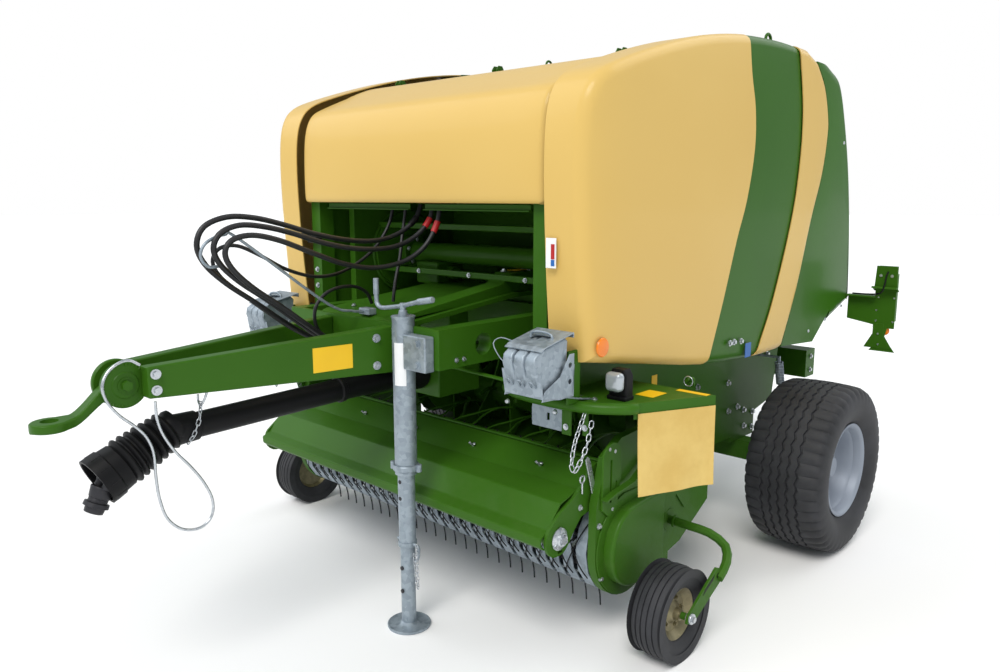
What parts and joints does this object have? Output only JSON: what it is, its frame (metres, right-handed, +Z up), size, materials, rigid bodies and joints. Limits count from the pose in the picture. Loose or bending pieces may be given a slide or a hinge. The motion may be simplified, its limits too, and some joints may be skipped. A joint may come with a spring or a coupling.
{
  "type": "round baler",
  "caption": "Towed round baler with a fixed chamber, lifting tailgate, side covers and hood, tine pickup on gauge wheels, V drawbar with hitch eye, guarded drive shaft and a parking jack.",
  "frame": {"origin": "on the floor at the centre of the outline seen from above", "axes": "+Z up, -Y forwards along the drawbar, +X to the machine's left"},
  "size_m": [2.751, 4.12, 2.478],
  "materials": {
    "green_paint": "glossy green paint",
    "beige_panel": "glossy cream-beige cover",
    "green_panel": "glossy green cover",
    "dark_sheet": "dark satin sheet",
    "tyre_rubber": "matt black rubber",
    "rim_silver": "silver paint",
    "galvanised": "dull galvanised steel",
    "dark_steel": "dark oiled steel",
    "black_plastic": "black plastic",
    "flap_rubber": "tan rubber sheet",
    "lamp_lens": "clear lens on a dark stand",
    "hose_rubber": "black hose"
  },
  "bodies": {
    "chassis": {"axle_beam": "green_paint", "side_frame_left": "green_paint", "side_frame_right": "green_paint", "chamber_front_wall": "green_paint", "chamber_floor": "green_paint", "roof_panel": "dark_sheet", "front_frame": "green_paint", "net_roller": "green_paint", "drawbar_frame": "green_paint", "drawbar_beam_left": "green_paint", "drawbar_beam_right": "green_paint", "hitch_head": "green_paint", "hitch_eye": "green_paint", "gearbox": "green_paint", "pto_guard": "black_plastic", "jack_tube": "galvanised", "platform_left": "green_paint", "platform_right": "green_paint", "flap_left": "flap_rubber", "flap_right": "flap_rubber", "wheel_chock_left": "galvanised", "wheel_chock_right": "galvanised", "front_lamp_left": "lamp_lens", "front_lamp_right": "lamp_lens", "hose_holder": "galvanised", "hose_1": "hose_rubber", "hose_2": "hose_rubber", "hose_3": "hose_rubber", "hose_4": "hose_rubber", "hose_5": "hose_rubber", "hose_6": "hose_rubber", "safety_cable": "galvanised"},
    "wheel_left": {"tyre_left": "tyre_rubber", "rim_left": "rim_silver"},
    "wheel_right": {"tyre_right": "tyre_rubber", "rim_right": "rim_silver"},
    "pickup": {"pickup_frame": "green_paint", "stripper_bands": "galvanised", "gauge_arm_left": "green_paint", "gauge_arm_right": "green_paint"},
    "gauge_wheel_left": {"gauge_wheel_left": "tyre_rubber"},
    "gauge_wheel_right": {"gauge_wheel_right": "tyre_rubber"},
    "reel": {"tine_reel": "dark_steel"},
    "crop_guard": {"crop_guard": "green_paint"},
    "rotor": {"feed_rotor": "green_paint"},
    "hood": {"hood": "beige_panel"},
    "side_panel_left": {"side_panel_left": "beige_panel"},
    "side_panel_right": {"side_panel_right": "beige_panel"},
    "tailgate": {"tailgate_frame": "green_paint", "tailgate_cover": "green_panel", "light_bracket_left": "green_paint", "light_bracket_right": "green_paint"},
    "jack_leg": {"jack_leg": "galvanised"},
    "pto_yoke": {"pto_yoke": "dark_steel"}
  },
  "joints": [
    {"name": "wheel_left_spin", "type": "hinge", "parent": "chassis", "child": "wheel_left", "pos_m": [1.182, 1.16, 0.4225], "axis": [1, 0, 0], "continuous": true},
    {"name": "wheel_right_spin", "type": "hinge", "parent": "chassis", "child": "wheel_right", "pos_m": [-1.182, 1.16, 0.4225], "axis": [1, 0, 0], "continuous": true},
    {"name": "pickup_lift", "type": "hinge", "parent": "chassis", "child": "pickup", "pos_m": [0, 0.24, 0.74], "axis": [-1, 0, 0], "range_deg": [0, 12]},
    {"name": "gauge_wheel_left_spin", "type": "hinge", "parent": "pickup", "child": "gauge_wheel_left", "pos_m": [1.217, -0.26, 0.183], "axis": [1, 0, 0], "continuous": true},
    {"name": "gauge_wheel_right_spin", "type": "hinge", "parent": "pickup", "child": "gauge_wheel_right", "pos_m": [-1.217, -0.26, 0.183], "axis": [1, 0, 0], "continuous": true},
    {"name": "reel_spin", "type": "hinge", "parent": "pickup", "child": "reel", "pos_m": [0, -0.24, 0.4], "axis": [1, 0, 0], "continuous": true},
    {"name": "crop_guard_lift", "type": "hinge", "parent": "pickup", "child": "crop_guard", "pos_m": [0, -0.39, 0.6], "axis": [-1, 0, 0], "range_deg": [0, 20]},
    {"name": "rotor_spin", "type": "hinge", "parent": "chassis", "child": "rotor", "pos_m": [0, 0.24, 0.74], "axis": [1, 0, 0], "continuous": true},
    {"name": "hood_lift", "type": "hinge", "parent": "chassis", "child": "hood", "pos_m": [0, 0.04, 2.335], "axis": [-1, 0, 0], "range_deg": [0, 60]},
    {"name": "side_panel_left_lift", "type": "hinge", "parent": "chassis", "child": "side_panel_left", "pos_m": [0.93, 0.5, 2.42], "axis": [0, -1, 0], "range_deg": [0, 60]},
    {"name": "side_panel_right_lift", "type": "hinge", "parent": "chassis", "child": "side_panel_right", "pos_m": [-0.93, 0.5, 2.42], "axis": [0, 1, 0], "range_deg": [0, 60]},
    {"name": "tailgate_lift", "type": "hinge", "parent": "chassis", "child": "tailgate", "pos_m": [0, 1.06, 2.42], "axis": [1, 0, 0], "range_deg": [0, 60]},
    {"name": "jack_slide", "type": "slide", "parent": "chassis", "child": "jack_leg", "axis": [0, 0, 1], "range_m": [0, 0.28]},
    {"name": "pto_spin", "type": "hinge", "parent": "chassis", "child": "pto_yoke", "pos_m": [0, -1.875, 0.825], "axis": [0, -0.8906, -0.4548], "continuous": true}
  ]
}
